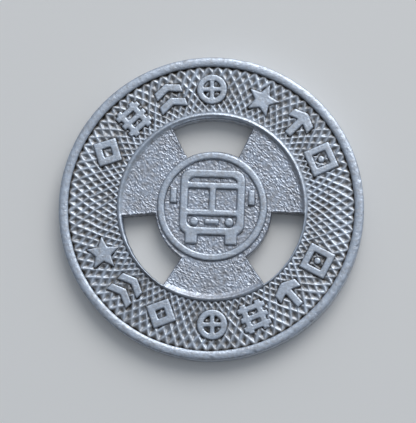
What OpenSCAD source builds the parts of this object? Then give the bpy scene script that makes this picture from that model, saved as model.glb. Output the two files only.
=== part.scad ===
// Pierced transit token: a struck disc of white metal with a raised rim, a legend band, an inner
// ring, and a round hub held by three arms between three pierced windows. Both faces are struck.
// Origin: centre of the lower rim's plane. +Z: towards the obverse. +Y: head of the design.

/* [Blank] */
// Diameter over the rim
token_d = 23; // [20:0.5:26]
// Thickness over the two rims
token_t = 1.6; // [1.4:0.1:2.2]

/* [Rim] */
// Width of the rim
rim_w = 0.72; // [0.44:0.02:0.8]
// Rounding of the rim's outer corners
rim_round = 0.14; // [0.06:0.01:0.18]

/* [Fields] */
// Depth of the legend band below the rim, on each face
band_drop = 0.26; // [0.2:0.01:0.3]
// Depth of the hub and the arms below the rim, on each face
centre_drop = 0.28; // [0.24:0.01:0.32]
// Depth of the inner ring's crest below the rim, on each face
crest_drop = 0.08; // [0.04:0.01:0.12]

/* [Strike] */
// Error of the struck design towards +X
strike_x = 0.08; // [-0.2:0.01:0.2]
// Error of the struck design towards +Y
strike_y = 0.12; // [-0.2:0.01:0.2]

/* [Piercing] */
// Angle that each window spans
window_span = 52.6; // [40:0.2:60]
// Error of the piercing tool towards +X
pierce_x = 0.17; // [-0.2:0.01:0.2]
// Error of the piercing tool towards +Y
pierce_y = -0.07; // [-0.2:0.01:0.2]
// Turn of the piercing tool from the head of the design
pierce_turn = 2.6; // [-6:0.1:6]

/* [Relief] */
// Width of an ornament's strokes
stroke = 0.54; // [0.36:0.02:0.56]
// Angle from one ornament to the next
ornament_pitch = 20.7; // [18:0.1:22]
// Angle across the gap between two groups of ornaments
group_gap = 25.4; // [22:0.1:28]
// Depth of the flat tops of the ornaments and emblems below the rim
top_drop = 0.06; // [0.03:0.01:0.1]

/* [Hidden] */
$fn = 96;
token_r = token_d / 2;
rim_in_r = token_r - rim_w;
ring_out_r = 0.626 * token_r;
bead_w = 0.03 * token_r;
bead_round = 0.08;
// The arms end on this circle, and the slope up to the bead begins on it.
ring_in_r = 0.576 * token_r;

window_r = 0.596 * token_r;
window_count = 3;
arm_span = 360 / window_count - window_span;
hub_r = 0.382 * token_r;
past_face = 1;

band_top = token_t - band_drop;
centre_top = token_t - centre_drop;
crest_top = token_t - crest_drop;
relief_top = token_t - top_drop;

legend_r = 0.777 * token_r;
ornament_h = 0.196 * token_r;
UPPER_ORNAMENTS = ["diamond", "track", "chevrons", "wheel", "star", "arrow", "sign"];
UPPER_GROUP = 4;
LOWER_ORNAMENTS = ["star", "chevrons", "diamond", "wheel", "track", "arrow", "sign"];
LOWER_GROUP = 3;

emblem_edge = 0.07;
border_r = hub_r - norm([pierce_x - strike_x, pierce_y - strike_y]) - emblem_edge;
border_w = 0.11 * hub_r;

WORN = [0.70, 0.72, 0.75];
STRUCK = [0.58, 0.59, 0.61];

// ---- shared shapes ----

module annulus(outer, inner) {
    difference() {
        circle(outer);
        circle(inner);
    }
}

module bar(w, h) {
    square([w, h], center = true);
}

module rounded_bar(w, h, r) {
    bar(w - 2 * r, h);
    bar(w, h - 2 * r);
    for (x = [-1, 1], y = [-1, 1])
        translate([x * (w / 2 - r), y * (h / 2 - r)]) circle(r);
}

// A frame of one line's width around an opening.
module frame(w, h, line) {
    difference() {
        bar(w, h);
        bar(w - 2 * line, h - 2 * line);
    }
}

// Both dies share one error, so what they strike has one centre on both faces.
module struck() {
    translate([strike_x, strike_y, 0]) children();
}

// Turns what is on the obverse over to the reverse, and keeps the head of the design at +Y.
module on_reverse() {
    translate([0, 0, token_t]) rotate([0, 180, 0]) children();
}

// ---- the disc, region by region ----

// Part of a thick ring about the piercing tool's own axis.
module pierced_sector(from, span, inner, outer, z0, z1) {
    translate([pierce_x, pierce_y, 0]) rotate(from)
        rotate_extrude(angle = span) translate([inner, z0]) square([outer - inner, z1 - z0]);
}

function window_from(i) = 90 + pierce_turn - window_span / 2 + i * 360 / window_count;

module windows() {
    for (i = [0 : window_count - 1])
        pierced_sector(window_from(i), window_span, hub_r, window_r, -past_face,
                       token_t + past_face);
}

module rim() {
    color(WORN) rotate_extrude() {
        translate([rim_in_r, 0]) square([rim_w / 2, token_t]);
        translate([rim_in_r + rim_w / 2, token_t / 2]) rounded_bar(rim_w, token_t, rim_round);
    }
}

module legend_band() {
    color(STRUCK) difference() {
        translate([0, 0, band_drop]) cylinder(r = rim_in_r, h = token_t - 2 * band_drop);
        struck() translate([0, 0, -past_face]) cylinder(r = ring_out_r, h = token_t + 2 * past_face);
    }
}

// A bead on both faces, with a slope down to the arms. The windows bite into its inner side.
module inner_ring() {
    slope_out_r = ring_out_r - bead_w + bead_round;
    color(WORN) difference() {
        struck() rotate_extrude() {
            polygon([
                [ring_in_r, centre_drop], [slope_out_r, crest_drop],
                [slope_out_r, crest_top], [ring_in_r, centre_top]
            ]);
            translate([ring_out_r - bead_w / 2, token_t / 2])
                rounded_bar(bead_w, crest_top - crest_drop, bead_round);
        }
        windows();
    }
}

module hub() {
    color(STRUCK) translate([pierce_x, pierce_y, centre_drop])
        cylinder(r = hub_r, h = centre_top - centre_drop);
}

// Arm i stands between window i and the next window.
module arm(i) {
    color(STRUCK) intersection() {
        pierced_sector(window_from(i) + window_span, arm_span, hub_r, token_r,
                       centre_drop, centre_top);
        struck() cylinder(r = ring_in_r, h = token_t);
    }
}

// ---- ornaments of the legend ----

module wheel() {
    annulus(ornament_h / 2, ornament_h / 2 - 0.8 * stroke);
    bar(ornament_h - stroke, 0.6 * stroke);
    bar(0.6 * stroke, ornament_h - stroke);
}

module sign() {
    frame(0.9 * ornament_h, 0.9 * ornament_h, 0.9 * stroke);
    circle(0.45 * stroke);
}

module diamond() {
    rotate(45) frame(0.78 * ornament_h, 0.78 * ornament_h, stroke);
}

module star() {
    points = 5;
    tip_r = 0.57 * ornament_h;
    notch_r = 0.46 * tip_r;
    polygon([
        for (i = [0 : 2 * points - 1])
            let (r = i % 2 == 0 ? tip_r : notch_r, a = 90 + i * 180 / points)
                [r * cos(a), r * sin(a)]
    ]);
}

// A bent stripe with its point at the top, as wide as two of half_w.
module chevron(half_w, rise, line) {
    polygon([
        [-half_w, 0], [0, rise], [half_w, 0],
        [half_w, line], [0, rise + line], [-half_w, line]
    ]);
}

module chevrons() {
    for (y = [-0.48, 0.02])
        translate([0, y * ornament_h]) chevron(0.46 * ornament_h, 0.2 * ornament_h, 1.1 * stroke);
}

module arrow() {
    head = 1.3 * stroke;
    bar(stroke, 0.94 * ornament_h);
    chevron(0.44 * ornament_h, 0.5 * ornament_h - head, head);
}

module track() {
    for (x = [-0.26, 0.26]) translate([x * ornament_h, 0]) bar(0.8 * stroke, ornament_h);
    for (y = [-0.32, 0, 0.32]) translate([0, y * ornament_h]) bar(0.94 * ornament_h, 0.72 * stroke);
}

module ornament(kind) {
    if (kind == "wheel") wheel();
    if (kind == "sign") sign();
    if (kind == "diamond") diamond();
    if (kind == "star") star();
    if (kind == "chevrons") chevrons();
    if (kind == "arrow") arrow();
    if (kind == "track") track();
}

// Angle from a row's first ornament to its ornament i, with the wide gap after the first group.
function along_row(i, group) = i * ornament_pitch + (i < group ? 0 : group_gap - ornament_pitch);

// A row runs from left to right at the head (side 1) or at the foot (side -1) of the band.
module ornament_row(kinds, group, side) {
    half_row = along_row(len(kinds) - 1, group) / 2;
    for (i = [0 : len(kinds) - 1])
        rotate(side * (half_row - along_row(i, group)))
            translate([0, side * legend_r]) ornament(kinds[i]);
}

module legend() {
    color(WORN) translate([0, 0, band_top]) linear_extrude(relief_top - band_top) {
        ornament_row(UPPER_ORNAMENTS, UPPER_GROUP, 1);
        ornament_row(LOWER_ORNAMENTS, LOWER_GROUP, -1);
    }
}

// ---- emblems of the hub ----

// The front of a bus. Its sizes are shares of the hub's radius.
module bus_front() {
    body_w = 1.10 * hub_r;
    body_h = 1.12 * hub_r;
    body_y = 0.07 * hub_r;
    corner = 0.18 * hub_r;
    line = 0.125 * hub_r;
    rail = 0.10 * hub_r;
    header_y = 0.36 * hub_r;
    waist_y = -0.11 * hub_r;
    lamp_y = -0.265 * hub_r;
    translate([0, body_y]) difference() {
        rounded_bar(body_w, body_h, corner);
        rounded_bar(body_w - 2 * line, body_h - 2 * line, corner - line / 2);
    }
    for (y = [header_y, waist_y]) translate([0, y]) bar(body_w - line, rail);
    translate([0, (header_y + waist_y) / 2]) bar(rail, header_y - waist_y);
    translate([0, lamp_y]) bar(0.24 * hub_r, 0.08 * hub_r);
    for (side = [-1, 1]) {
        translate([side * 0.3 * hub_r, lamp_y]) circle(0.07 * hub_r);
        translate([side * 0.67 * hub_r, 0.17 * hub_r]) bar(rail, 0.26 * hub_r);
        translate([side * 0.34 * hub_r, -0.53 * hub_r]) bar(0.2 * hub_r, 0.24 * hub_r);
    }
}

module spoked_wheel() {
    spokes = 6;
    tyre_r = 0.68 * hub_r;
    line = 0.12 * hub_r;
    axle_r = 0.23 * hub_r;
    annulus(tyre_r, tyre_r - line);
    annulus(axle_r, axle_r - line);
    for (i = [0 : spokes - 1])
        rotate(i * 360 / spokes) translate([0, (axle_r + tyre_r - line) / 2])
            bar(0.09 * hub_r, tyre_r - axle_r);
}

module emblem() {
    color(WORN) translate([0, 0, centre_top]) linear_extrude(relief_top - centre_top) {
        annulus(border_r, border_r - border_w);
        children();
    }
}

rim();
legend_band();
inner_ring();
hub();
arm(0);  // upper_left_arm
arm(1);  // lower_arm
arm(2);  // upper_right_arm
struck() legend();  // obverse_legend
struck() emblem() bus_front();  // obverse_emblem
struck() on_reverse() legend();  // reverse_legend
struck() on_reverse() emblem() spoked_wheel();  // reverse_emblem
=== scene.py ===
import math

import bpy
import numpy as np
from mathutils import Matrix, Vector, kdtree


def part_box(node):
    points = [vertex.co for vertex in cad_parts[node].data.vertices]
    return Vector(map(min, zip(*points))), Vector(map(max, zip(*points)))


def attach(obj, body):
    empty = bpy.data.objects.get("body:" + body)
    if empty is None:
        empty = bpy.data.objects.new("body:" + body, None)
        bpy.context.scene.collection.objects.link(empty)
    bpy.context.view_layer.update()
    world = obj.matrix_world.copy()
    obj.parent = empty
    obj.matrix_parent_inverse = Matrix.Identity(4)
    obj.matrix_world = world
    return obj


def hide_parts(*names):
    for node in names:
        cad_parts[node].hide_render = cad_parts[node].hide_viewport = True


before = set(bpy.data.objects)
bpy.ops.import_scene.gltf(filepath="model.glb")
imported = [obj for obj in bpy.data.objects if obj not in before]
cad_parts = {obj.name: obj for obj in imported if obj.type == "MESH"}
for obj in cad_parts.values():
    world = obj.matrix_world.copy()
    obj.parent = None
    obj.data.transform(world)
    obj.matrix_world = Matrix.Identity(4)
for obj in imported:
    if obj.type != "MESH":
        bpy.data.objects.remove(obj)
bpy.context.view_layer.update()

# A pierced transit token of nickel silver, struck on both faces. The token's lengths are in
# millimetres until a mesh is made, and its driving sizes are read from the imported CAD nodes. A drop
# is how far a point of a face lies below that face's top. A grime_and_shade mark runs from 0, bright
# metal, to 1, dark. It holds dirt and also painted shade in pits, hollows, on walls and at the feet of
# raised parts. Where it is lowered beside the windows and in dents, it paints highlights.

MM = 0.001
TAU = 2 * math.pi
OBVERSE = 1
REVERSE = -1


# ---- sizes read from the frame ----

def box_mm(node):
    low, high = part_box(node)
    return np.array(low) / MM, np.array(high) / MM


def points_mm(node):
    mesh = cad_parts[node].data
    flat = np.empty(len(mesh.vertices) * 3)
    mesh.vertices.foreach_get("co", flat)
    return flat.reshape(-1, 3) / MM


def turned(angle, middle):
    """The angle from middle, between -pi and pi."""
    return (angle - middle + math.pi) % TAU - math.pi


LEVEL_SLACK = 0.001
rim_low, rim_high = box_mm("rim")
TOKEN_R = min(*rim_high[:2], *-rim_low[:2])
TOKEN_T = rim_high[2]
HALF_T = TOKEN_T / 2
RIM_IN_R = box_mm("legend_band")[1][0]
ring_low, ring_high = box_mm("inner_ring")
STRIKE = (ring_low[:2] + ring_high[:2]) / 2
RING_OUT_R = (ring_high[0] - ring_low[0]) / 2
ring_points = points_mm("inner_ring")
ring_reach = np.hypot(ring_points[:, 0] - STRIKE[0], ring_points[:, 1] - STRIKE[1])
RING_IN_R = ring_reach.min()
RING_CREST_R = ring_reach[ring_points[:, 2] > ring_high[2] - LEVEL_SLACK].min()
BAND_DROP = TOKEN_T - box_mm("legend_band")[1][2]
CENTRE_DROP = TOKEN_T - box_mm("hub")[1][2]
CREST_DROP = TOKEN_T - ring_high[2]
RELIEF_DROP = TOKEN_T - box_mm("obverse_legend")[1][2]
hub_low, hub_high = box_mm("hub")
HUB = (hub_low[:2] + hub_high[:2]) / 2
HUB_R = (hub_high[0] - hub_low[0]) / 2


def about_strike(x, y):
    return np.hypot(x - STRIKE[0], y - STRIKE[1])


def about_hub(x, y):
    return np.hypot(x - HUB[0], y - HUB[1]), np.arctan2(y - HUB[1], x - HUB[0])


def span_of(node):
    """The first and last angle of an arm, seen from the hub's centre."""
    x, y = points_mm(node)[:, :2].T
    middle = math.atan2(y.mean() - HUB[1], x.mean() - HUB[0])
    off = turned(about_hub(x, y)[1], middle)
    start = (middle + off.min()) % TAU
    return start, start + off.max() - off.min()


ARMS = {name: span_of(name) for name in ("upper_right_arm", "upper_left_arm", "lower_arm")}
arm_order = sorted(ARMS.values())
WINDOWS = [
    (arm[1], following[0] + (TAU if following[0] < arm[1] else 0))
    for arm, following in zip(arm_order, arm_order[1:] + arm_order[:1])
]


def window_radius():
    """The radius, from the hub's centre, at which the windows bite into the ring."""
    clear_of_corners = 0.98
    rho, phi = about_hub(ring_points[:, 0], ring_points[:, 1])
    start, end = WINDOWS[0]
    middle, half = (start + end) / 2, (end - start) / 2
    return rho[np.abs(turned(phi, middle)) < half * clear_of_corners].min()


WINDOW_R = window_radius()


# ---- noise ----

LATTICE_CELLS = 256
NOISE_GAIN = 1.5
LATTICES = {}


def lattice(seed):
    angles = np.random.default_rng(seed).random((LATTICE_CELLS, LATTICE_CELLS)) * TAU
    return np.cos(angles), np.sin(angles)


def ease(k):
    return k * k * k * (k * (k * 6 - 15) + 10)


def noise(x, y, size, seed):
    """Smooth gradient noise, about -1 to 1, with bumps of one size, the same on each run."""
    if seed not in LATTICES:
        LATTICES[seed] = lattice(seed)
    gx, gy = LATTICES[seed]
    u, v = x / size, y / size
    i, j = np.floor(u).astype(int), np.floor(v).astype(int)
    s, t = u - i, v - j

    def corner(di, dj):
        a, b = (i + di) % LATTICE_CELLS, (j + dj) % LATTICE_CELLS
        return gx[a, b] * (s - di) + gy[a, b] * (t - dj)

    near = corner(0, 0) + ease(s) * (corner(1, 0) - corner(0, 0))
    far = corner(0, 1) + ease(s) * (corner(1, 1) - corner(0, 1))
    return NOISE_GAIN * (near + ease(t) * (far - near))


def smooth(low, high, value):
    """Rises gently from 0 at low to 1 at high."""
    k = np.clip((value - low) / (high - low), 0, 1)
    return k * k * (3 - 2 * k)


def bell(distance, width):
    """1 at no distance, falling away over about the width."""
    return np.exp(-(distance / width) ** 2)


# ---- relief of the centre ----

# A window's edge is worn round, with a low lip a little way behind it.
EDGE_ROUND = 0.09
LIP_HIGH = 0.028
LIP_PLACE = 0.11
LIP_WIDE = 0.06
LIP_UNEVEN = 0.6
LIP_SIZE = 0.7
LIP_SEED = 31

# The cut of the piercing tool wanders in the plane.
CUT_WANDER = 0.022
CUT_FADE = 0.25
CUT_COARSE = 0.34
CUT_FINE = 0.13
CUT_SEEDS = ((41, 43), (42, 44))

# The grain of the die, whose features are longer along the lean than across it.
STIPPLE_LEAN = math.radians(-48)
STIPPLE_HIGH = 0.049
STIPPLE_BEND = 0.14
STIPPLE_BEND_SIZE = 0.8
WRINKLE_SIZE = 0.18
WRINKLE_LONG = 1.8
CREASE_SIZE = WRINKLE_SIZE * 0.9
CREASE_SHARP = 2.4
PIMPLE_SIZE = WRINKLE_SIZE * 0.62
PIMPLE_LONG = 1.5
PATCH_SIZE = 1.4

# The ring rises from the field in a hollow slope, and its outer shoulder is worn down. The slope
# reaches further out at the lower left.
SLOPE_INSET = 0.02
SLOPE_ROUNDED = 0.3
CREST_OUTSET = 0.055
CREST_WIDENED = 0.04
LOWER_LEFT = math.radians(205)
WIDENED_TO = 0.45
WIDENED_FADED = 0.85
SHOULDER_WIDE = 0.20
SHOULDER_DEEP = 0.09
SHOULDER_BEND = 1.7

# The field is dished and a little wavy. It gives way to the ring's smoother crown.
DISH = 0.075
DISH_LEVEL = 0.62
FIELD_INSET = 0.05
FIELD_FADE = 0.20
WAVE_HIGH = 0.012
WAVE_SIZE = 2.6
CROWN_WEAR = 0.006
CROWN_WEAR_SIZE = 0.9
CROWN_GRAIN = 0.10


def window_distance(x, y):
    """How far outside the nearest window a point lies."""
    rho, phi = about_hub(x, y)
    nearest = np.full(np.shape(x), np.inf)
    for start, end in WINDOWS:
        beyond = np.abs(turned(phi, (start + end) / 2)) - (end - start) / 2
        along = rho * np.clip(beyond, 0, None)
        out = np.maximum(np.maximum(HUB_R - rho, rho - WINDOW_R), 0)
        nearest = np.minimum(nearest, np.hypot(along, out))
    return nearest


def worn_edge(x, y):
    """The drop of a worn edge beside a window, less the lip that piercing raises behind it."""
    distance = window_distance(x, y)
    inward = np.clip(EDGE_ROUND - distance, 0, EDGE_ROUND)
    drop = EDGE_ROUND - np.sqrt(EDGE_ROUND ** 2 - inward ** 2)
    lip = LIP_HIGH * bell(distance - LIP_PLACE, LIP_WIDE)
    return drop - lip * (LIP_UNEVEN + LIP_UNEVEN * noise(x, y, LIP_SIZE, LIP_SEED))


def ragged(x, y):
    """Moves points a little in the plane near the windows, for the piercing tool's uneven cut."""
    fade = np.exp(-window_distance(x, y) / CUT_FADE)
    moved = []
    for place, (coarse, fine) in zip((x, y), CUT_SEEDS):
        wander = noise(x, y, CUT_COARSE, coarse) + 0.5 * noise(x, y, CUT_FINE, fine)
        moved.append(place + CUT_WANDER * fade * wander)
    return moved


def stipple(x, y, seed):
    """The wrinkled grain of the die, leaning down to the right: small pimples on longer wrinkles."""
    px = x + STIPPLE_BEND * noise(x, y, STIPPLE_BEND_SIZE, seed)
    py = y + STIPPLE_BEND * noise(x, y, STIPPLE_BEND_SIZE, seed + 1)
    along = px * math.cos(STIPPLE_LEAN) + py * math.sin(STIPPLE_LEAN)
    across = py * math.cos(STIPPLE_LEAN) - px * math.sin(STIPPLE_LEAN)
    wrinkle = noise(along / WRINKLE_LONG, across, WRINKLE_SIZE, seed + 2)
    creases = 1 - CREASE_SHARP * np.abs(noise(along / PIMPLE_LONG, across, CREASE_SIZE, seed + 3))
    pimples = smooth(0.05, 0.75, noise(along / PIMPLE_LONG, across, PIMPLE_SIZE, seed + 4))
    patchy = 0.8 + 0.5 * noise(x, y, PATCH_SIZE, seed + 7)
    return patchy * (0.40 * wrinkle + 0.28 * creases + 0.75 * pimples)


def slope_drop(r, widened):
    """The hollow slope from the arms' field up to the ring's crest, and the crest's outer shoulder."""
    foot = RING_IN_R - SLOPE_INSET
    crest = RING_CREST_R + CREST_OUTSET + CREST_WIDENED * widened
    ramp = np.clip((r - foot) / (crest - foot), 0, 1)
    rise = (1 - SLOPE_ROUNDED) * ramp + SLOPE_ROUNDED * ramp * ramp * (3 - 2 * ramp)
    shoulder = np.clip((r - (RING_OUT_R - SHOULDER_WIDE)) / SHOULDER_WIDE, 0, 1)
    return CENTRE_DROP + (CREST_DROP - CENTRE_DROP) * rise + SHOULDER_DEEP * shoulder ** SHOULDER_BEND


def centre_drop(x, y, seed):
    """The drop of arms, hub and ring as one surface, so that the pieces meet without a step."""
    r = about_strike(x, y)
    field = 1 - smooth(RING_IN_R - FIELD_INSET, RING_IN_R + FIELD_FADE, r)
    crown_wear = CROWN_WEAR * noise(x, y, CROWN_WEAR_SIZE, seed + 6) * (1 - field)
    grain = -STIPPLE_HIGH * (field + CROWN_GRAIN * (1 - field)) * stipple(x, y, seed)
    waviness = WAVE_HIGH * noise(x, y, WAVE_SIZE, seed + 5)
    dish = DISH * (DISH_LEVEL - (r / RING_IN_R) ** 2)
    off_side = turned(np.arctan2(y - STRIKE[1], x - STRIKE[0]), LOWER_LEFT)
    widened = 1 - smooth(WIDENED_TO, WIDENED_FADED, np.abs(off_side))
    return slope_drop(r, widened) + grain + crown_wear + (waviness + dish) * field + worn_edge(x, y)


def height_of(face, drop):
    """The height above the floor of a point with this drop on the obverse or the reverse."""
    return HALF_T + face * (HALF_T - drop)


# ---- meshes ----

SHARP_ANGLE = math.radians(66)

# The walls of the windows are sheared near their middle and torn towards the reverse.
WALL_ROWS = 9
SHEAR_DEEP = 0.008
SHEAR_SIZE = 0.11
TEAR_DEEP = 0.012
TEAR_SIZE = 0.2
TEAR_FLAT = 1.5
TEAR_FROM = 0.55
TEAR_FULL = 0.8


def make_piece(name, points, faces, nodes, material, marks):
    """A closed mesh of points in mm that stands for CAD nodes, with named values on its points."""
    mesh = bpy.data.meshes.new(name)
    corners = faces.shape[1]
    a, b, c = (points[faces[:, k]] for k in (0, 1, 2))
    volume = np.einsum("ij,ij->", a, np.cross(b, c))
    if corners == 4:
        volume += np.einsum("ij,ij->", a, np.cross(c, points[faces[:, 3]]))
    if volume < 0:
        faces = faces[:, ::-1]
    mesh.vertices.add(len(points))
    mesh.vertices.foreach_set("co", (points * MM).ravel())
    mesh.loops.add(faces.size)
    mesh.loops.foreach_set("vertex_index", faces.ravel())
    mesh.polygons.add(len(faces))
    mesh.polygons.foreach_set("loop_start", np.arange(0, faces.size, corners))
    mesh.update(calc_edges=True)
    finish_piece(name, mesh, nodes, material, marks)


def finish_piece(name, mesh, nodes, material, marks):
    """Gives a mesh its marks, shading and material, and hands it over as a piece of the token."""
    for mark, values in marks.items():
        layer = mesh.attributes.new(mark, "FLOAT", "POINT")
        layer.data.foreach_set("value", np.clip(values, 0, 1).astype(np.float32))
    mesh.polygons.foreach_set("use_smooth", np.ones(len(mesh.polygons), bool))
    mesh.set_sharp_from_angle(angle=SHARP_ANGLE)
    mesh.materials.append(material)
    piece = bpy.data.objects.new(name, mesh)
    bpy.context.scene.collection.objects.link(piece)
    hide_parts(*nodes)
    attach(piece, "root")


def hoop_faces(turns, loop):
    """Quads of a hoop whose cross-section is a closed loop of points."""
    i, j = np.meshgrid(np.arange(turns), np.arange(loop), indexing="ij")
    i2, j2 = (i + 1) % turns, (j + 1) % loop
    return np.stack([i * loop + j, i2 * loop + j, i2 * loop + j2, i * loop + j2], -1).reshape(-1, 4)


def turns_left(outline):
    """Whether a closed outline runs anticlockwise."""
    return np.cross(outline - outline.mean(0), np.roll(outline, -1, 0) - outline).sum() > 0


def outward_of(outline):
    """Unit vectors that point out of a closed outline, one for each of its points."""
    ahead = np.roll(outline, -1, 0) - np.roll(outline, 1, 0)
    outward = np.column_stack([ahead[:, 1], -ahead[:, 0]])
    outward /= np.linalg.norm(outward, axis=1)[:, None]
    return outward if turns_left(outline) else -outward


def sheared_walls(edge, top_z, bottom_z, seed):
    """Rows of points between a slab's upper and lower edge, set back unevenly from the cut."""
    outward = outward_of(edge)
    run = np.cumsum(np.linalg.norm(np.roll(edge, -1, 0) - edge, axis=1))
    walls = []
    for row in range(1, WALL_ROWS):
        k = row / WALL_ROWS
        z = top_z * (1 - k) + bottom_z * k
        shear = SHEAR_DEEP * (noise(run, z, SHEAR_SIZE, seed) + 1) * math.sin(math.pi * k)
        tear = TEAR_DEEP * (noise(run, z * TEAR_FLAT, TEAR_SIZE, seed + 1) + 1)
        tear = tear * smooth(TEAR_FROM, TEAR_FULL, k) * (1 - k) * 2
        walls.append(np.column_stack([edge - outward * (shear + tear)[:, None], z]))
    return walls


def slab(xy, top_z, bottom_z, wall_seed):
    """A slab over a grid of places, with a top, a bottom and side walls, as points and faces."""
    n, m = top_z.shape
    index = np.arange(n * m).reshape(n, m)
    loop = np.concatenate([index[0, :-1], index[:-1, -1], index[-1, :0:-1], index[:0:-1, 0]])
    flat = xy.reshape(-1, 2)
    edge = flat[loop]
    top = np.column_stack([flat, top_z.ravel()])
    bottom = np.column_stack([flat, bottom_z.ravel()])
    walls = sheared_walls(edge, top[loop, 2], bottom[loop, 2], wall_seed)
    rings = [loop]
    rings += [2 * n * m + row * len(loop) + np.arange(len(loop)) for row in range(len(walls))]
    rings += [loop + n * m]
    sides = [
        np.stack([upper, lower, np.roll(lower, -1), np.roll(upper, -1)], -1)
        for upper, lower in zip(rings, rings[1:])
    ]
    if not turns_left(edge):
        sides = [side[:, ::-1] for side in sides]
    corners = [index[:-1, :-1], index[1:, :-1], index[1:, 1:], index[:-1, 1:]]
    cap = np.stack(corners, -1).reshape(-1, 4)
    first, second, last = (flat[cap[:, k]] for k in (0, 1, 3))
    if np.cross(second - first, last - first).sum() <= 0:
        cap = cap[:, ::-1]
    return np.concatenate([top, bottom] + walls), np.concatenate([cap, cap[:, ::-1] + n * m] + sides)


# ---- material ----

NOISE_ROUGHNESS = 0.6

# Scale of each noise, in bumps per millimetre.
MOTTLE_SCALE = 0.55
PATINA_SCALE = 3.2
PORE_SCALE = 10

# How far patches and mottling shift the film, and how much of it is left under a scratch.
PATINA_SHIFT = 0.20
MOTTLE_SHIFT = 0.10
FILM_IN_SCRATCH = 0.4

# Tints of a thin and a thick film over clean metal, and the darkest colour, of packed dirt and painted
# shade.
THIN_FILM = (0.78, 0.74, 0.70)
THICK_FILM = (0.36, 0.31, 0.26)
DIRT_AND_SHADE_COLOUR = (0.040, 0.032, 0.024)

# Families of scratches: direction, scale along and across, and how rare they are.
HAIRLINES = ((math.radians(86), 0.30, 9.0, 0.66), (math.radians(20), 0.45, 12.0, 0.69))
FEW_LINES = ((math.radians(60), 0.5, 11.0, 0.70),)
SCRATCH_EDGE = 0.05


def math_node(tree, kind, first, second):
    """A sum, product or the like of two values, each a number or another node's output."""
    node = tree.nodes.new("ShaderNodeMath")
    node.operation = kind
    for socket, value in zip(node.inputs, (first, second)):
        if isinstance(value, (int, float)):
            socket.default_value = value
        else:
            tree.links.new(value, socket)
    return node.outputs[0]


def ranged(tree, value, old, new):
    """A value stretched from the old range to the new one, and held at its ends."""
    node = tree.nodes.new("ShaderNodeMapRange")
    tree.links.new(value, node.inputs["Value"])
    for key, number in zip(("From Min", "From Max", "To Min", "To Max"), old + new):
        node.inputs[key].default_value = number
    return node.outputs["Result"]


def noise_node(tree, scale, detail, turn=0.0):
    """Noise that stays with the object, at a scale in bumps per millimetre along each axis."""
    place = tree.nodes.new("ShaderNodeTexCoord")
    mapping = tree.nodes.new("ShaderNodeMapping")
    mapping.inputs["Scale"].default_value = [s / MM for s in scale]
    mapping.inputs["Rotation"].default_value = (0, 0, turn)
    node = tree.nodes.new("ShaderNodeTexNoise")
    node.inputs["Scale"].default_value = 1.0
    node.inputs["Detail"].default_value = detail
    node.inputs["Roughness"].default_value = NOISE_ROUGHNESS
    tree.links.new(place.outputs["Object"], mapping.inputs["Vector"])
    tree.links.new(mapping.outputs["Vector"], node.inputs["Vector"])
    return node.outputs["Fac"]


def scratch_mask(tree, lines):
    """Fine straight scratches: 1 in a scratch and 0 between them."""
    scratches = None
    for turn, along, across, rarity in lines:
        streak = noise_node(tree, (along, across, across), 2, turn)
        line = ranged(tree, streak, (rarity, rarity + SCRATCH_EDGE), (0, 1))
        scratches = line if scratches is None else math_node(tree, "MAXIMUM", scratches, line)
    return scratches


def tarnish_and_shade(tree, patina, scratches, shade):
    """How thick the dark film is: the grime_and_shade mark, which is dirt and painted shade, with patches,
    cut through by the scratches.
    """
    mark = tree.nodes.new("ShaderNodeAttribute")
    mark.attribute_name = "grime_and_shade"
    mottle = noise_node(tree, (MOTTLE_SCALE,) * 3, 4)
    patches = ranged(tree, patina, (0.36, 0.64), (-PATINA_SHIFT, PATINA_SHIFT))
    mottling = ranged(tree, mottle, (0.3, 0.7), (-MOTTLE_SHIFT, MOTTLE_SHIFT))
    spread = math_node(tree, "ADD", patches, mottling)
    film_and_shade = math_node(tree, "ADD", math_node(tree, "ADD", mark.outputs["Fac"], spread), shade)
    return math_node(tree, "MULTIPLY", film_and_shade, ranged(tree, scratches, (0, 1), (1, FILM_IN_SCRATCH)))


def film_colour(tree, film_and_shade, clean):
    """The metal's colour, from clean through a thin and a thick film to dirt. The darker stops also paint
    shade where the mark holds it.
    """
    tone = tree.nodes.new("ShaderNodeValToRGB")
    stops = (
        (0.0, clean),
        (0.35, tuple(c * k for c, k in zip(clean, THIN_FILM))),
        (0.70, tuple(c * k for c, k in zip(clean, THICK_FILM))),
        (1.0, DIRT_AND_SHADE_COLOUR),
    )
    ramp = tone.color_ramp
    while len(ramp.elements) < len(stops):
        ramp.elements.new(0.5)
    for element, (at, colour) in zip(ramp.elements, stops):
        element.position = at
        element.color = (*colour, 1)
    tree.links.new(film_and_shade, tone.inputs["Fac"])
    return tone.outputs["Color"]


def surface_grain(tree, pores, patina, scratches, grain):
    """A bump of pores, patches and scratches, so many millimetres high."""
    height = math_node(tree, "MULTIPLY", pores, 0.6)
    height = math_node(tree, "ADD", height, math_node(tree, "MULTIPLY", patina, 0.5))
    height = math_node(tree, "SUBTRACT", height, math_node(tree, "MULTIPLY", scratches, 0.35))
    bump = tree.nodes.new("ShaderNodeBump")
    bump.inputs["Strength"].default_value = 1.0
    bump.inputs["Distance"].default_value = grain * MM
    tree.links.new(height, bump.inputs["Height"])
    return bump.outputs["Normal"]


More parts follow.
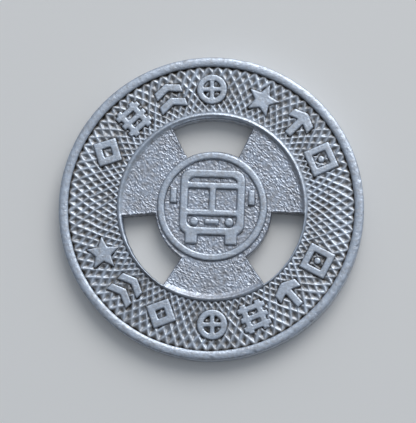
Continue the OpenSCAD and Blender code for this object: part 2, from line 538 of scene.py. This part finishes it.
def nickel_silver(name, clean, shade, rough, grain, lines):
    """Struck nickel silver: bright where it is worn, warm and dark where the grime_and_shade mark is high,
    which is dirt and also painted shade.
    """
    material = bpy.data.materials.new(name)
    material.use_nodes = True
    tree = material.node_tree
    tree.nodes.clear()
    patina = noise_node(tree, (PATINA_SCALE,) * 3, 5)
    pores = noise_node(tree, (PORE_SCALE,) * 3, 5)
    scratches = scratch_mask(tree, lines)
    film_and_shade = tarnish_and_shade(tree, patina, scratches, shade)
    pore_rough = ranged(tree, pores, (0.3, 0.7), (rough - 0.05, rough + 0.07))
    film_rough = ranged(tree, film_and_shade, (0, 1), (0, 0.28))
    link = tree.links.new
    shader = tree.nodes.new("ShaderNodeBsdfPrincipled")
    link(film_colour(tree, film_and_shade, clean), shader.inputs["Base Color"])
    link(ranged(tree, film_and_shade, (0.5, 1.0), (1.0, 0.78)), shader.inputs["Metallic"])
    link(math_node(tree, "ADD", pore_rough, film_rough), shader.inputs["Roughness"])
    link(surface_grain(tree, pores, patina, scratches, grain), shader.inputs["Normal"])
    link(shader.outputs["BSDF"], tree.nodes.new("ShaderNodeOutputMaterial").inputs["Surface"])
    return material


# The clean metal's blue tint is a painted reflection of the bluish sky; the metal itself is a neutral
# grey.
SKY_TINTED_BRIGHT = (0.56, 0.62, 0.71)
SKY_TINTED_DULL = (0.50, 0.55, 0.64)

rim_metal = nickel_silver(
    "rim_metal", SKY_TINTED_BRIGHT, shade=0.05, rough=0.36, grain=0.024, lines=HAIRLINES)
knurl_metal = nickel_silver(
    "knurl_metal", SKY_TINTED_BRIGHT, shade=0.0, rough=0.33, grain=0.010, lines=FEW_LINES)
ring_metal = nickel_silver(
    "ring_metal", SKY_TINTED_BRIGHT, shade=0.02, rough=0.33, grain=0.014, lines=HAIRLINES)
field_metal = nickel_silver(
    "field_metal", SKY_TINTED_DULL, shade=0.04, rough=0.34, grain=0.014, lines=FEW_LINES)
relief_metal = nickel_silver(
    "relief_metal", SKY_TINTED_BRIGHT, shade=0.05, rough=0.34, grain=0.020, lines=HAIRLINES)


# ---- rim ----

COLUMNS = 1104
ANGLES = np.arange(COLUMNS) * TAU / COLUMNS

RIM_LAP = 0.01
RIM_DOME = 0.15
RIM_DOME_BEND = 2.4
RIM_FOOT_DEPTH = 0.12

# Height and size of each layer of the rim's wear, and what it adds to the rim's seed.
RIM_WEAR = ((0.006, 1.7, 0), (0.006, 0.34, 1), (0.005, 0.16, 7))
DING_DEEP = 0.020
SWAY = 0.016
STRIA_DEEP = 0.006

# How far a dent moves the metal down and inwards, and how much it brightens it, as rubbed metal and a
# painted glint.
DENT_DOWN = 0.7
DENT_IN = 0.8
DENT_RUBBED_AND_GLINT = 3.5

# The rim's inner wall is painted darker towards its foot, as dirt and painted shade. Its outer side gets
# darker away from each face's top.
RIM_GRIME = 0.05
RIM_WALL_DIRT_AND_SHADE = 0.85
RIM_SIDE_DARKENING = 0.12

# Angles of the larger nicks, in degrees, and the width and depth of those and of the small ones.
NICK_ANGLES = (347, 332, 317, 313, 306, 289, 145, 61)
NICK_WIDE = 0.11
NICK_DEEP = 0.040
SMALL_NICKS = 60
SMALL_NICK_WIDE = (0.05, 0.30)
SMALL_NICK_DEEP = (0.006, 0.026)
NICK_DROP = (-0.02, 0.16)
NICK_TALL = 0.08


def rim_profile():
    """Radius and drop along the obverse half of the rim, from the foot of its inner wall outwards."""
    foot, lip = RIM_IN_R - RIM_LAP, RIM_IN_R + RIM_LAP
    low = BAND_DROP + RIM_FOOT_DEPTH
    wall = [(foot, HALF_T)]
    for k in np.linspace(0, 1, 6)[:-1]:
        wall.append((foot + (lip - foot) * k, low + (RIM_DOME - low) * k))
    middle, half = (lip + TOKEN_R) / 2, (TOKEN_R - lip) / 2
    power = 2 / RIM_DOME_BEND
    crown = []
    for turn in np.linspace(-math.pi / 2, math.pi / 2, 27):
        across = math.copysign(abs(math.sin(turn)) ** power, turn)
        crown.append((middle + half * across, RIM_DOME * (1 - max(math.cos(turn), 0) ** power)))
    edge = [(TOKEN_R, RIM_DOME + (HALF_T - RIM_DOME) * k) for k in np.linspace(0, 1, 8)[1:]]
    return np.array(wall + crown + edge)


def nicks(theta, radius, drop, seed, marked):
    """Dents along the rim's outer corner, as a depth at each point."""
    rng = np.random.default_rng(seed)
    depth = np.zeros(theta.shape)
    places = [(math.radians(angle), NICK_WIDE, NICK_DEEP) for angle in marked]
    for _ in range(SMALL_NICKS):
        places.append((rng.random() * TAU, rng.uniform(*SMALL_NICK_WIDE), rng.uniform(*SMALL_NICK_DEEP)))
    for middle, wide, deep in places:
        at_drop = rng.uniform(*NICK_DROP)
        across = turned(theta, middle) * TOKEN_R / wide
        depth += deep * np.exp(-across ** 2 - ((drop - at_drop) / NICK_TALL) ** 2)
    return depth * smooth(TOKEN_R - 0.34, TOKEN_R - 0.12, radius)


def dings(x, y, seed):
    """Small dents and short scrapes all over a flat top, from 0 to 1."""
    pits = smooth(0.52, 0.80, noise(x, y, 0.13, seed))
    scrape = smooth(0.62, 0.85, noise(x * 0.35 + y * 1.6, y * 0.35 - x * 1.6, 0.30, seed + 1))
    return np.maximum(pits, 0.6 * scrape)


def rim_half(face, seed, marked):
    """Radius, height and grime_and_shade of each point of one face's half of the rim."""
    half = rim_profile()
    theta, radius, drop = np.broadcast_arrays(ANGLES[:, None], half[:, 0], half[:, 1])
    x, y = radius * np.cos(theta), radius * np.sin(theta)
    on_top = 1 - smooth(0.03, 0.14, drop)
    on_edge = smooth(TOKEN_R - 0.03, TOKEN_R, radius)
    by_wall = 1 - smooth(RIM_IN_R, RIM_IN_R + 0.10, radius)
    wear = sum(high * (1 + noise(x, y, size, seed + layer)) for high, size, layer in RIM_WEAR)
    wear = (wear + DING_DEEP * dings(x, y, seed + 5)) * on_top
    dents = nicks(theta, radius, drop, seed + 2, marked)
    sway = SWAY * by_wall * noise(x, y, 1.3, seed + 3)
    striae = STRIA_DEEP * on_edge * (1 + noise(theta * TOKEN_R, drop * 0.3, 0.16, seed + 4)) / 2
    # Dirt and painted shade down the inner wall. The dents are painted brighter, as rubbed metal and a
    # painted glint.
    grime_and_shade = RIM_GRIME + RIM_WALL_DIRT_AND_SHADE * smooth(0.07, BAND_DROP, drop) * by_wall
    grime_and_shade = grime_and_shade + RIM_SIDE_DARKENING * smooth(0.14, 0.4, drop) * on_edge - DENT_RUBBED_AND_GLINT * dents
    new_drop = drop + wear + dents * DENT_DOWN * on_top
    return radius - dents * DENT_IN + sway - striae, height_of(face, new_drop), grime_and_shade


def build_rim():
    top = rim_half(OBVERSE, 101, NICK_ANGLES)
    back = rim_half(REVERSE, 131, ())
    radius, z, grime_and_shade = (np.concatenate([a, b[:, -2:0:-1]], 1) for a, b in zip(top, back))
    theta = ANGLES[:, None]
    points = np.stack([radius * np.cos(theta), radius * np.sin(theta), z], -1).reshape(-1, 3)
    faces = hoop_faces(*radius.shape)
    make_piece("rim_shell", points, faces, ["rim"], rim_metal, {"grime_and_shade": grime_and_shade.ravel()})


# ---- outlines of the raised ornaments and emblems ----

OUTLINE_STEP = 0.025


def outline_points(node):
    """Points close together along the outline of a raised node's top, as seen from above."""
    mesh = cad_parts[node].data
    facing = OBVERSE if node.startswith("obverse") else REVERSE
    used = {}
    for face in mesh.polygons:
        if face.normal.z * facing > 0.9:
            for key in face.edge_keys:
                used[key] = used.get(key, 0) + 1
    dots = []
    for (a, b), count in used.items():
        if count == 1:
            start, end = (np.array(mesh.vertices[k].co)[:2] / MM for k in (a, b))
            steps = max(1, int(np.linalg.norm(end - start) / OUTLINE_STEP))
            dots += [start + (end - start) * k / steps for k in range(steps)]
    return dots


def outline_tree(node):
    dots = outline_points(node)
    tree = kdtree.KDTree(len(dots))
    for k, (x, y) in enumerate(dots):
        tree.insert((x, y, 0), k)
    tree.balance()
    return tree


def distance_from(tree, x, y):
    flat = np.array([tree.find((a, b, 0))[2] for a, b in zip(x.ravel(), y.ravel())])
    return flat.reshape(x.shape)


# ---- knurled band ----

# The knurl is two crossing families of ridges. Each ridge passes KNURL_RISES others on its way out.
KNURL_LINES = 92
KNURL_RISES = 4
KNURL_STEPS = COLUMNS // KNURL_LINES
KNURL_DEEP = 0.172
PIT_EXTRA = 0.100
CREST_HALF = 0.05
LINE_HEIGHTS = (0.80, 1.05)

# Beside the ring the strike was weaker on one side, so the pits are partly filled there.
WEAK_SIDE = math.radians(62)
FILLED = 0.60
FILLED_WIDE = 0.17

# Crests are blunt, and what stands above that height is pressed down.
BLUNT_AT = 0.84
BLUNT_UNEVEN = 0.05
BLUNT_LEFT = 0.2

# How far the ridges stray in the plane, in long and in short bends.
LONG_BEND = 0.050
SHORT_BEND = 0.014

BAND_TUCK = 0.02
BAND_WALL_HIGH = 0.2

# The pits, the ornaments' feet and the foot of each wall are painted darker, as dirt and painted shade.
KNURL_GRIME = 0.14
PIT_DIRT_AND_SHADE = 0.29
DEEP_PIT_DIRT_AND_SHADE = 0.32
BY_ORNAMENT_DIRT_AND_SHADOW = 0.55
BY_RIM_DIRT_AND_SHADE = 0.60
BY_RING_DIRT_AND_SHADE = 0.10


def ridge(phase, seed):
    """Height of one family of ridges, from 0 midway to about 1 on each crest, a little uneven by line."""
    line = np.round(phase).astype(int)
    uneven = np.random.default_rng(seed).uniform(*LINE_HEIGHTS, KNURL_LINES)[line % KNURL_LINES]
    off = np.abs(phase - line)
    return uneven * (1 - np.clip((off - CREST_HALF) / (0.5 - CREST_HALF), 0, 1))


def reach(theta, centre, radius):
    """The distance from the strike's centre, in each direction, to a circle around another centre."""
    to_x, to_y = centre[0] - STRIKE[0], centre[1] - STRIKE[1]
    along = to_x * np.cos(theta) + to_y * np.sin(theta)
    return along + np.sqrt(along ** 2 - (to_x ** 2 + to_y ** 2 - radius ** 2))


def knurl_height(x, y, theta, rise, beyond_ring, gap, seed):
    """Height of the struck knurl, from 0 in a pit to about 1 on a crest."""
    struck = 0.92 + 0.20 * noise(x, y, 2.3, seed) - 0.20 * bell(gap, 0.24)
    struck += 0.08 * bell(beyond_ring, 0.12)
    turn = theta * KNURL_LINES / TAU
    families = []
    for family, lean in enumerate((1, -1)):
        worn = 1.0 + 0.11 * noise(x, y, 1.1, seed + 1 + family)
        worn = worn + 0.07 * noise(x, y, 0.4, seed + 12 + family)
        families.append(ridge(turn + lean * rise, seed + 10 + family) * struck * worn)
    high = np.maximum(*families)
    weak = 0.5 + 0.5 * np.cos(theta - WEAK_SIDE)
    return high + FILLED * weak * bell(beyond_ring, FILLED_WIDE) * (1 - high)


def knurl_dirt_and_shade(pit, gap, beyond_ring, within_rim):
    """Dirt and painted shade in the pits, dirt and a painted shadow around the ornaments, and dirt and
    painted shade along both walls of the band.
    """
    grime_and_shade = KNURL_GRIME + PIT_DIRT_AND_SHADE * smooth(0.05, 0.35, pit)
    grime_and_shade += DEEP_PIT_DIRT_AND_SHADE * smooth(0.50, 0.90, pit)
    grime_and_shade += BY_ORNAMENT_DIRT_AND_SHADOW * bell(gap, 0.08) + BY_RIM_DIRT_AND_SHADE * bell(within_rim, 0.11)
    return grime_and_shade + BY_RING_DIRT_AND_SHADE * bell(beyond_ring, 0.07)


def diamond_faces(loop):
    """Triangles of the band, each quad split along the ridge that runs nearer to it."""
    quads = hoop_faces(COLUMNS, loop)
    i, j = np.divmod(np.arange(len(quads)), loop)
    j = j - 2
    first = np.abs(((i + j + 1) / KNURL_STEPS + 0.5) % 1 - 0.5)
    second = np.abs(((i - j) / KNURL_STEPS + 0.5) % 1 - 0.5)
    a, b, c, d = quads.T
    one_way = np.stack([a, b, c, a, c, d], -1)
    other_way = np.stack([a, b, d, b, c, d], -1)
    return np.where((first < second)[:, None], other_way, one_way).reshape(-1, 3)


def band_section(top, outer, face):
    """The band's cross-sections: its knurled top between two walls that reach the middle plane."""
    low = np.full(COLUMNS, HALF_T)
    low_wall = np.full(COLUMNS, HALF_T + face * BAND_WALL_HIGH)

    def column(radial, level):
        across, up = STRIKE[0] + radial * np.cos(ANGLES), STRIKE[1] + radial * np.sin(ANGLES)
        return np.stack([across, up, level], -1)[:, None, :]

    start, end = RING_OUT_R - BAND_TUCK, outer[:, 0] + BAND_TUCK
    return np.concatenate([
        column(start, low), column(start, top[:, 0, 2]), top,
        column(end, top[:, -1, 2]), column(end, low_wall), column(end, low),
    ], 1)


def build_band(name, face, legend, seed):
    rise = (np.arange(KNURL_RISES * KNURL_STEPS + 1) / KNURL_STEPS)[None, :]
    theta, rise = np.broadcast_arrays(ANGLES[:, None], rise)
    outer = reach(ANGLES[:, None], (0, 0), RIM_IN_R)
    r = RING_OUT_R * (outer / RING_OUT_R) ** (rise / KNURL_RISES)
    x, y = STRIKE[0] + r * np.cos(theta), STRIKE[1] + r * np.sin(theta)
    beyond_ring, within_rim = r - RING_OUT_R, outer - r
    gap = distance_from(outline_tree(legend), x, y)
    high = knurl_height(x, y, theta, rise, beyond_ring, gap, seed)
    blunt = BLUNT_AT + BLUNT_UNEVEN * noise(x, y, 0.5, seed + 3)
    high = np.where(high > blunt, blunt + (high - blunt) * BLUNT_LEFT, high)
    drop = BAND_DROP + PIT_EXTRA - KNURL_DEEP * high
    drop += 0.004 * noise(x, y, 0.11, seed + 4) + 0.008 * noise(x, y, 1.6, seed + 5)
    fade = smooth(0, 0.35, np.minimum(beyond_ring, within_rim))
    bent = []
    for k, place in enumerate((x, y)):
        long_bend = LONG_BEND * fade * noise(x, y, 1.2, seed + 6 + k)
        bent.append(place + long_bend + SHORT_BEND * fade * noise(x, y, 0.3, seed + 8 + k))
    section = band_section(np.stack([*bent, height_of(face, drop)], -1), outer, face)
    grime_and_shade = knurl_dirt_and_shade(np.clip(1 - high / blunt, 0, 1), gap, beyond_ring, within_rim)
    # The band's wall columns are marked dark, painting shade into its corners at the ring and at the rim.
    marks = np.concatenate([np.full((COLUMNS, 2), 0.4), grime_and_shade, np.ones((COLUMNS, 3))], 1)
    faces = diamond_faces(section.shape[1])
    make_piece(name, section.reshape(-1, 3), faces, ["legend_band"], knurl_metal, {"grime_and_shade": marks.ravel()})


# ---- inner ring ----

# Seed of the centre's relief on each face, shared by ring, hub and arms.
CENTRE_SEEDS = ((OBVERSE, 200), (REVERSE, 240))

RING_ROWS = 26
RING_CROWDING = 0.32
RING_WALL_LEVELS = 7
RING_WALL_DEPTH = 0.12
RING_WALL_SEED = 260
RING_SHEAR = 0.012
# The hollow slope, the outer shoulder and the walls are painted darker, as dirt and painted shade. Beside
# the windows the ring is painted brighter, as rubbed metal and a painted highlight.
RING_GRIME = 0.04
HOLLOW_DIRT_AND_SHADE = 0.38
RING_OUTSIDE_DIRT_AND_SHADE = 0.06
RING_RUBBED_AND_HIGHLIGHT = 0.28
RING_WALL_DIRT_AND_SHADE = (0.6, 0.3)


def ring_face(x0, y0, r, face, seed):
    """Points and grime_and_shade of one face of the ring: dirt and painted shade in the hollow slope and
    at the outer shoulder, and painted brighter beside the windows, as rubbed metal and a painted
    highlight.
    """
    x, y = ragged(x0, y0)
    drop = centre_drop(x0, y0, seed)
    hollow = smooth(CREST_DROP + 0.03, CENTRE_DROP, drop)
    outside = smooth(RING_OUT_R - 0.09, RING_OUT_R, r)
    rubbed_and_highlit = bell(window_distance(x0, y0), 0.12)
    grime_and_shade = RING_GRIME + HOLLOW_DIRT_AND_SHADE * hollow + RING_OUTSIDE_DIRT_AND_SHADE * outside - RING_RUBBED_AND_HIGHLIGHT * rubbed_and_highlit
    return np.stack([x, y, height_of(face, drop)], -1), grime_and_shade


def ring_wall(face_points, column, shear_deep):
    """A wall of the ring through the token's thickness, below one edge column of its face."""
    levels = np.linspace(1, -1, RING_WALL_LEVELS)[None, :]
    height = (HALF_T - BAND_DROP - RING_WALL_DEPTH) * levels
    theta = ANGLES[:, None]
    shear = shear_deep * (1 + noise(theta * WINDOW_R, height, 0.14, RING_WALL_SEED))
    shear = shear * (1 - np.abs(levels) ** 3)
    x, y = face_points[:, column, :2].T[:, :, None]
    across, up = x + shear * np.cos(theta), y + shear * np.sin(theta)
    return np.stack(np.broadcast_arrays(across, up, HALF_T + height), -1)


def build_ring():
    theta = ANGLES[:, None]
    start = reach(theta, HUB, WINDOW_R)
    k = np.linspace(0, 1, RING_ROWS)[None, :]
    clustered = k - RING_CROWDING * np.sin(TAU * k) / TAU
    r = start + (RING_OUT_R - start) * clustered
    x0, y0 = STRIKE[0] + r * np.cos(theta), STRIKE[1] + r * np.sin(theta)
    (top, top_dirt_and_shade), (back, back_dirt_and_shade) = (ring_face(x0, y0, r, *pair) for pair in CENTRE_SEEDS)
    outer_wall = ring_wall(top, -1, 0)
    inner_wall = ring_wall(top, 0, RING_SHEAR)
    section = np.concatenate([top, outer_wall, back[:, ::-1], inner_wall[:, ::-1]], 1)
    outer_mark, inner_mark = (np.full(outer_wall.shape[:2], amount) for amount in RING_WALL_DIRT_AND_SHADE)
    marks = np.concatenate([top_dirt_and_shade, outer_mark, back_dirt_and_shade[:, ::-1], inner_mark], 1)
    faces = hoop_faces(COLUMNS, section.shape[1])
    make_piece("inner_ring_bead", section.reshape(-1, 3), faces, ["inner_ring"], ring_metal,
               {"grime_and_shade": marks.ravel()})


# ---- hub and arms ----

HUB_GRID = 208
HUB_CROWDING = 1.12
HUB_WALL_SEED = 300
ARM_GRID = (210, 88)
ARM_CROWDING = 0.60
ARM_WALL_SEED = 320

# The hollows of the grain, the emblem's foot and the cut walls are painted darker, as dirt and painted
# shade. A thin line along the windows is darker too.
FIELD_GRIME = 0.15
GRAIN_DIRT_AND_SHADE = 0.26
BY_WINDOW_DARKENING = 0.20
BY_EMBLEM_DIRT_AND_SHADOW = 0.42
CUT_WALL_DIRT_AND_SHADE = 0.38


def field_marks(x, y, seed, emblem_tree):
    """Dirt and painted shade between the grains of the field, a darker line along the windows, and dirt
    with a painted shadow around the emblem.
    """
    grime_and_shade = FIELD_GRIME + GRAIN_DIRT_AND_SHADE * smooth(0.1, -0.8, stipple(x, y, seed))
    grime_and_shade = grime_and_shade + BY_WINDOW_DARKENING * bell(window_distance(x, y), 0.03)
    if emblem_tree is not None:
        grime_and_shade = grime_and_shade + BY_EMBLEM_DIRT_AND_SHADOW * bell(distance_from(emblem_tree, x, y), 0.075)
    return grime_and_shade


def faced_slab(name, x0, y0, nodes, wall_seed, trees):
    """A slab of the centre's relief over a grid of places, with both faces and cut walls."""
    x, y = ragged(x0, y0)
    levels, marks = [], []
    for (face, seed), tree in zip(CENTRE_SEEDS, trees):
        levels.append(height_of(face, centre_drop(x0, y0, seed)))
        marks.append(field_marks(x0, y0, seed, tree).ravel())
    points, faces = slab(np.stack([x, y], -1), *levels, wall_seed)
    wall_marks = np.full(len(points) - 2 * x.size, CUT_WALL_DIRT_AND_SHADE)
    make_piece(name, points, faces, nodes, field_metal, {"grime_and_shade": np.concatenate(marks + [wall_marks])})


def build_hub():
    """The hub, over a square grid that is drawn out to a disc."""
    k = np.linspace(-1, 1, HUB_GRID)
    k = np.sign(k) * (1 - (1 - np.abs(k)) ** HUB_CROWDING)
    a, b = np.meshgrid(k, k, indexing="ij")
    wide = np.abs(a) >= np.abs(b)
    far = np.where(wide, a, b)
    safe = np.where(far == 0, 1, far)
    lean = math.pi / 4 * np.where(wide, b, a) / safe
    x = HUB[0] + HUB_R * far * np.where(wide, np.cos(lean), np.sin(lean))
    y = HUB[1] + HUB_R * far * np.where(wide, np.sin(lean), np.cos(lean))
    trees = outline_tree("obverse_emblem"), outline_tree("reverse_emblem")
    faced_slab("hub_disc", x, y, ["hub"], HUB_WALL_SEED, trees)


def build_arm(node, seed):
    """An arm, over a grid whose columns crowd towards the two windows beside it."""
    start, end = ARMS[node]
    columns, rows = ARM_GRID
    k = np.linspace(0, 1, columns)
    phi = start + (end - start) * (k - ARM_CROWDING * np.sin(TAU * k) / TAU)
    rho = np.linspace(HUB_R, WINDOW_R, rows)
    phi, rho = np.meshgrid(phi, rho, indexing="ij")
    x, y = HUB[0] + rho * np.cos(phi), HUB[1] + rho * np.sin(phi)
    faced_slab(node + "_plate", x, y, [node], seed, (None, None))


# ---- raised ornaments and emblems ----

RELIEF_VOXEL = 0.042
RELIEF_SUNK = 0.14
RELIEF_WELD = 0.0005
RELIEF_POLISH = 0.006
RELIEF_GRIME = 0.05
RELIEF_FOOT_DIRT_AND_SHADOW = 0.85


def sunk_shape(name, node, facing):
    """An object, in mm, of a raised node whose foot is sunk a little into its field."""
    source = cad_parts[node].data.copy()
    source.transform(Matrix.Scale(1 / MM, 4))
    shape = bpy.data.objects.new(name + "_shape", source)
    bpy.context.scene.collection.objects.link(shape)
    co = points_mm(node)
    foot = np.abs(co[:, 2] - HALF_T) < HALF_T - BAND_DROP + 0.03
    co[foot, 2] -= facing * RELIEF_SUNK
    source.vertices.foreach_set("co", co.ravel())
    return shape


def softened(name, shape, passes, swollen):
    """The mesh of a shape after its edges are rounded; swelling makes up for what smoothing takes."""
    weld = shape.modifiers.new("weld", "WELD")
    weld.merge_threshold = RELIEF_WELD
    remesh = shape.modifiers.new("remesh", "REMESH")
    remesh.mode = "VOXEL"
    remesh.voxel_size = RELIEF_VOXEL
    swell = shape.modifiers.new("swell", "DISPLACE")
    swell.strength = swollen
    swell.mid_level = 0
    soften = shape.modifiers.new("soften", "SMOOTH")
    soften.factor = 0.5
    soften.iterations = passes
    graph = bpy.context.evaluated_depsgraph_get()
    mesh = bpy.data.meshes.new_from_object(shape.evaluated_get(graph))
    bpy.data.objects.remove(shape)
    mesh.name = name
    mesh.materials.clear()
    return mesh


def build_relief(name, node, passes, swollen, seed):
    """A raised node with the softened edges and worn tops of struck metal."""
    facing = OBVERSE if node.startswith("obverse") else REVERSE
    mesh = softened(name, sunk_shape(name, node, facing), passes, swollen)
    flat = np.empty(len(mesh.vertices) * 3)
    mesh.vertices.foreach_get("co", flat)
    co = flat.reshape(-1, 3)
    drop = HALF_T - (co[:, 2] - HALF_T) * facing
    on_top = 1 - smooth(RELIEF_DROP + 0.02, RELIEF_DROP + 0.12, drop)
    x, y = co[:, 0], co[:, 1]
    wear = 0.010 * noise(x, y, 0.9, seed) + 0.005 * noise(x, y, 0.16, seed + 1)
    co[:, 2] -= facing * (swollen + on_top * (wear + RELIEF_POLISH))
    # The feet of the raised parts are painted dark, as dirt and a painted shadow.
    grime_and_shade = RELIEF_GRIME + RELIEF_FOOT_DIRT_AND_SHADOW * smooth(RELIEF_DROP + 0.05, BAND_DROP - 0.01, drop)
    mesh.vertices.foreach_set("co", (co * MM).ravel())
    mesh.update()
    finish_piece(name, mesh, [node], relief_metal, {"grime_and_shade": grime_and_shade})


# ---- build ----

build_rim()
build_band("obverse_band", OBVERSE, "obverse_legend", 400)
build_band("reverse_band", REVERSE, "reverse_legend", 440)
build_ring()
build_hub()
for number, arm in enumerate(ARMS):
    build_arm(arm, ARM_WALL_SEED + 10 * number)
for face_name, first_seed in (("obverse", 500), ("reverse", 520)):
    build_relief(
        face_name + "_ornaments", face_name + "_legend", passes=7, swollen=0.025, seed=first_seed)
    build_relief(
        face_name + "_badge", face_name + "_emblem", passes=11, swollen=0.05, seed=first_seed + 5)


# ---- floor, light and camera ----

# The floor's and the key's sizes and distances are in metres.
FLOOR_HALF = 0.6
FLOOR_COLOUR = (0.88, 0.87, 0.85, 1)
FLOOR_ROUGHNESS = 0.85

KEY_AZIMUTH = 69
KEY_ELEVATION = 46
KEY_DISTANCE = 0.52
KEY_SIZE = 0.40
KEY_WATTS = 1.06
KEY_COLOUR = (1.0, 0.99, 0.97)

SKY_ELEVATION = 38
SKY_DIM = (0.030, 0.031, 0.034, 1)
SKY_BRIGHT = (0.60, 0.66, 0.74, 1)
SKY_DIM_FROM = -0.35

# Angles are in degrees and the distance in metres. The token's diameter is a share of the view's
# width, and the aim lies so many mm left of and below the middle of the token's top.
DESIGN_TURN = -2.35
CAMERA_SIDE = -70
CAMERA_TILT = 8.5
CAMERA_DISTANCE = 0.23
TOKEN_IN_VIEW = 0.72356
AIM_LEFT = 0.2139
AIM_DOWN = 0.2903
SENSOR = 36


def pale_floor():
    h = FLOOR_HALF
    mesh = bpy.data.meshes.new("floor")
    mesh.from_pydata([(-h, -h, 0), (h, -h, 0), (h, h, 0), (-h, h, 0)], [], [(0, 1, 2, 3)])
    material = bpy.data.materials.new("pale_floor")
    material.use_nodes = True
    shader = material.node_tree.nodes["Principled BSDF"]
    shader.inputs["Base Color"].default_value = FLOOR_COLOUR
    shader.inputs["Roughness"].default_value = FLOOR_ROUGHNESS
    mesh.materials.append(material)
    floor = bpy.data.objects.new("floor", mesh)
    bpy.context.scene.collection.objects.link(floor)


def direction(azimuth, elevation):
    """A unit vector; azimuth runs anticlockwise from +X, in degrees."""
    a, e = math.radians(azimuth), math.radians(elevation)
    return Vector((math.cos(a) * math.cos(e), math.sin(a) * math.cos(e), math.sin(e)))


def key_light():
    """A large soft lamp above the head of the design, a little to the right."""
    light = bpy.data.lights.new("key", "AREA")
    light.shape = "DISK"
    light.size = KEY_SIZE
    light.energy = KEY_WATTS
    light.color = KEY_COLOUR
    lamp = bpy.data.objects.new("key", light)
    bpy.context.scene.collection.objects.link(lamp)
    toward = direction(KEY_AZIMUTH, KEY_ELEVATION)
    lamp.location = toward * KEY_DISTANCE
    lamp.rotation_euler = toward.to_track_quat("Z", "Y").to_euler()


def sky():
    """A soft sky, the same below as above, brightest on the key's side and dim low on the other."""
    world = bpy.data.worlds.new("studio")
    world.use_nodes = True
    tree = world.node_tree
    coordinates = tree.nodes.new("ShaderNodeTexCoord")
    mirror = tree.nodes.new("ShaderNodeVectorMath")
    mirror.operation = "ABSOLUTE"
    split = tree.nodes.new("ShaderNodeSeparateXYZ")
    flat = tree.nodes.new("ShaderNodeSeparateXYZ")
    rejoin = tree.nodes.new("ShaderNodeCombineXYZ")
    facing = tree.nodes.new("ShaderNodeVectorMath")
    facing.operation = "DOT_PRODUCT"
    facing.inputs[1].default_value = direction(KEY_AZIMUTH, SKY_ELEVATION)
    shade = tree.nodes.new("ShaderNodeValToRGB")
    for element, position, colour in zip(shade.color_ramp.elements, (0, 1), (SKY_DIM, SKY_BRIGHT)):
        element.position = position
        element.color = colour
    spread = tree.nodes.new("ShaderNodeMapRange")
    spread.inputs["From Min"].default_value = SKY_DIM_FROM
    link = tree.links.new
    link(coordinates.outputs["Generated"], mirror.inputs[0])
    link(mirror.outputs[0], split.inputs[0])
    link(coordinates.outputs["Generated"], flat.inputs[0])
    link(flat.outputs["X"], rejoin.inputs["X"])
    link(flat.outputs["Y"], rejoin.inputs["Y"])
    link(split.outputs["Z"], rejoin.inputs["Z"])
    link(rejoin.outputs[0], facing.inputs[0])
    link(facing.outputs["Value"], spread.inputs["Value"])
    link(spread.outputs["Result"], shade.inputs["Fac"])
    link(shade.outputs["Color"], tree.nodes["Background"].inputs["Color"])
    bpy.context.scene.world = world


def camera():
    """Looks nearly straight down from the near side, with the design's head a little right of up."""
    view_width = 2 * TOKEN_R * MM / TOKEN_IN_VIEW
    toward = direction(CAMERA_SIDE - DESIGN_TURN, 90 - CAMERA_TILT)
    image_up = direction(90 - DESIGN_TURN, 0)
    right = image_up.cross(toward).normalized()
    up = toward.cross(right)
    aim = Vector((0, 0, TOKEN_T * MM)) - right * AIM_LEFT * MM - up * AIM_DOWN * MM
    data = bpy.data.cameras.new("camera")
    data.sensor_width = SENSOR
    data.lens = SENSOR * CAMERA_DISTANCE / view_width
    data.clip_start = 0.01
    data.clip_end = 5
    eye = bpy.data.objects.new("camera", data)
    bpy.context.scene.collection.objects.link(eye)
    turn = Matrix((right, up, toward)).transposed().to_4x4()
    eye.matrix_world = Matrix.Translation(aim + toward * CAMERA_DISTANCE) @ turn
    bpy.context.scene.camera = eye


pale_floor()
key_light()
sky()
bpy.context.scene.view_settings.view_transform = "Standard"
camera()
